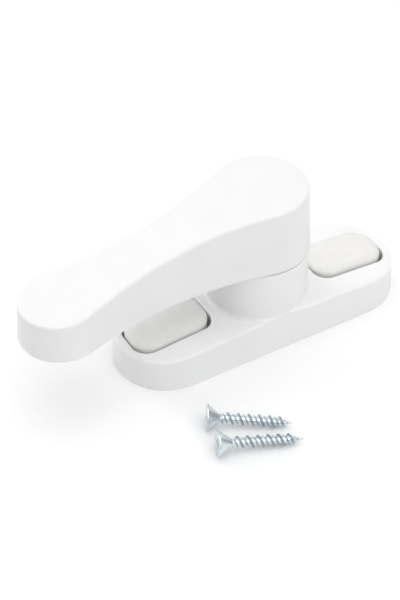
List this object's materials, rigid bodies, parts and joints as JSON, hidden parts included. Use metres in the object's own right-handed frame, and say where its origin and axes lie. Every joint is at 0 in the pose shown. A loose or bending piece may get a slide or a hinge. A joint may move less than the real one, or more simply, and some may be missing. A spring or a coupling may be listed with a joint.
{
  "type": "swing-arm sash lock",
  "caption": "White surface-mounted swing-arm lock: an arm turns on a raised boss over a long plate to hold a window or door sash shut, with loose fixing screws.",
  "frame": {"origin": "where the swing axis meets the base's underside, midway between the two fixing holes, on the face that lies against the frame", "axes": "+Z out of the mounting face along the swing axis, +X along the base away from the arm's tip at rest, +Y across the base away from the loose screws"},
  "size_m": [0.1003, 0.0533, 0.0405],
  "materials": {
    "base_white": "satin white powder coat on die-cast zinc",
    "arm_white": "satin white powder coat on die-cast zinc",
    "cover_grey_left": "soft off-white moulded plastic",
    "cover_grey_right": "soft off-white moulded plastic",
    "bush_acetal": "natural acetal",
    "washer_nylon": "natural nylon",
    "insert_nylon": "blue nylon",
    "pin_steel": "ground steel",
    "spindle_steel": "zinc plated steel",
    "spring_steel": "phosphated spring steel",
    "zinc_steel": "zinc plated steel",
    "screw_zinc": "bright zinc plated steel"
  },
  "bodies": {
    "base": {"base": "base_white", "spindle_bush": "bush_acetal", "stop_pin": "pin_steel", "arm_washer": "washer_nylon"},
    "arm": {"arm": "arm_white", "spindle": "spindle_steel", "thrust_washer": "washer_nylon", "disc_spring": "spring_steel", "flat_washer": "zinc_steel", "lock_nut": "zinc_steel", "nut_insert": "insert_nylon"},
    "left_cover": {"screw_cover_left": "cover_grey_left"},
    "right_cover": {"screw_cover_right": "cover_grey_right"},
    "screw_1": {"fixing_screw_1": "screw_zinc"},
    "screw_2": {"fixing_screw_2": "screw_zinc"}
  },
  "joints": [
    {"name": "arm_swing", "type": "hinge", "parent": "base", "child": "arm", "pos_m": [0, 0, 0.02375], "axis": [0, 0, 1], "range_deg": [-94.6, 85.4]},
    {"name": "left_cover_pull", "type": "slide", "parent": "base", "child": "left_cover", "axis": [0, 0, 1], "range_m": [0, 0.008]},
    {"name": "right_cover_pull", "type": "slide", "parent": "base", "child": "right_cover", "axis": [0, 0, 1], "range_m": [0, 0.008]},
    {"name": "screw_1_lift", "type": "slide", "parent": "base", "child": "screw_1", "axis": [0, 0, 1], "range_m": [0, 0.015]},
    {"name": "screw_2_lift", "type": "slide", "parent": "base", "child": "screw_2", "axis": [0, 0, 1], "range_m": [0, 0.015]}
  ]
}
